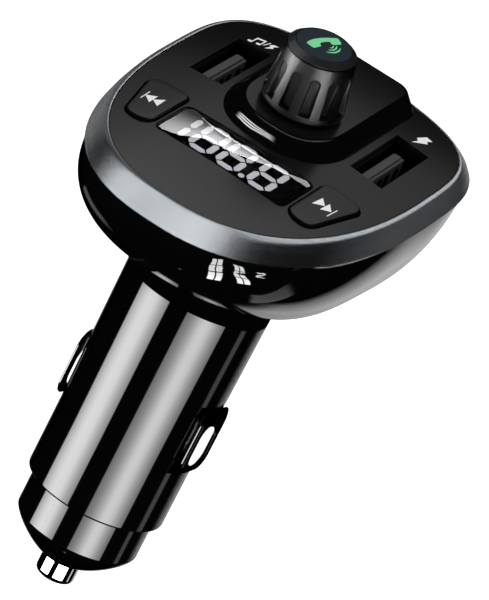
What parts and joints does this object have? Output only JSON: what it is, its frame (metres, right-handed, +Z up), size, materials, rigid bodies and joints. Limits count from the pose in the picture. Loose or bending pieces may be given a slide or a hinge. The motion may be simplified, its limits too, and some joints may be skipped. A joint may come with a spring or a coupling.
{
  "type": "car fm transmitter",
  "caption": "Car FM transmitter: plug barrel for a 12 V socket with spring side clips and centre pin, and a tilted head with knob, display window, keys and USB-A ports.",
  "frame": {"origin": "on the plug's axis at the lower edge of the straight barrel wall, where the screwed collar begins", "axes": "+Z up along the plug's axis from the centre pin to the head, +X to the right of the face, +Y to the back; the face looks up and leans 16.1 degrees towards -Y"},
  "size_m": [0.046, 0.0572, 0.0873],
  "materials": {
    "barrel_black": "moulded, high gloss black",
    "nose_black": "moulded, gloss black",
    "core_black": "moulded, plain",
    "contact_brass": "stamped, plain",
    "spring_steel": "drawn wire",
    "pin_chrome": "turned and chromed",
    "clip_chrome": "stamped and chromed",
    "strap_steel": "stamped, tinned",
    "fuse_glass": "clear tube",
    "fuse_nickel": "nickel plated",
    "shell_black": "moulded, piano black",
    "bezel_metal": "metallised, satin gunmetal",
    "face_grey": "moulded, fine matte grain",
    "pad_grey": "moulded, fine matte grain",
    "lens_smoke": "smoked window, polished",
    "digits_white": "lit segments",
    "key_grey": "moulded, fine matte grain",
    "knob_black": "moulded, satin black",
    "cap_slate": "moulded, satin dark slate",
    "socket_steel": "nickel plated sheet",
    "tongue_black": "moulded insulator",
    "board_green": "solder mask over glass laminate",
    "part_black": "moulded component body",
    "can_metal": "drawn can",
    "screw_steel": "zinc plated"
  },
  "bodies": {
    "housing": {"plug_sleeve": "barrel_black", "nose_collar": "nose_black", "barrel_core": "core_black", "spring_contact": "contact_brass", "tip_spring": "spring_steel", "ground_strap_left": "strap_steel", "ground_strap_right": "strap_steel", "neck_tube": "shell_black", "lower_shell": "shell_black", "bezel_ring": "bezel_metal", "face_plate": "face_grey", "knob_plinth": "shell_black", "plinth_pad": "pad_grey", "display_lens": "lens_smoke", "display_block": "part_black", "display_segments": "digits_white", "prev_switch": "can_metal", "next_switch": "can_metal", "usb_shell_left": "socket_steel", "usb_shell_right": "socket_steel", "usb_tongue_left": "tongue_black", "usb_tongue_right": "tongue_black", "usb_contacts_left": "contact_brass", "usb_contacts_right": "contact_brass", "ui_board": "board_green", "power_board": "board_green", "board_header": "part_black", "link_header": "part_black", "radio_module": "can_metal", "microphone": "can_metal", "encoder_body": "can_metal", "converter_board": "board_green", "inductor": "part_black", "capacitor": "can_metal", "regulator": "part_black", "screw_left": "screw_steel", "screw_right": "screw_steel", "screw_front": "screw_steel"},
    "tip": {"tip_pin": "pin_chrome", "fuse_tube": "fuse_glass", "fuse_caps": "fuse_nickel"},
    "clip_left": {"side_clip_left": "clip_chrome"},
    "clip_right": {"side_clip_right": "clip_chrome"},
    "prev_key": {"prev_button": "key_grey", "prev_plunger": "tongue_black"},
    "next_key": {"next_button": "key_grey", "next_plunger": "tongue_black"},
    "encoder_turn": {"encoder_rotor": "part_black"},
    "knob_set": {"encoder_shaft": "spring_steel", "knob": "knob_black", "knob_cap": "cap_slate"}
  },
  "joints": [
    {"name": "knob_turn", "type": "hinge", "parent": "housing", "child": "encoder_turn", "pos_m": [0, 0.00362, 0.06039], "axis": [0, -0.2773, 0.9608], "continuous": true},
    {"name": "knob_press", "type": "slide", "parent": "encoder_turn", "child": "knob_set", "axis": [0, 0.2773, -0.9608], "range_m": [0, 0.0005], "stiffness_N_per_m": 900},
    {"name": "prev_press", "type": "slide", "parent": "housing", "child": "prev_key", "axis": [0, 0.2773, -0.9608], "range_m": [0, 0.0003], "stiffness_N_per_m": 1200},
    {"name": "next_press", "type": "slide", "parent": "housing", "child": "next_key", "axis": [0, 0.2773, -0.9608], "range_m": [0, 0.0003], "stiffness_N_per_m": 1200},
    {"name": "tip_press", "type": "slide", "parent": "housing", "child": "tip", "axis": [0, 0, 1], "range_m": [0, 0.0018], "stiffness_N_per_m": 1500, "deforming": ["tip_spring"]},
    {"name": "clip_left_press", "type": "slide", "parent": "housing", "child": "clip_left", "axis": [1, 0, 0], "range_m": [0, 0.00095], "stiffness_N_per_m": 1500},
    {"name": "clip_right_press", "type": "slide", "parent": "housing", "child": "clip_right", "axis": [-1, 0, 0], "range_m": [0, 0.00095], "stiffness_N_per_m": 1500}
  ]
}
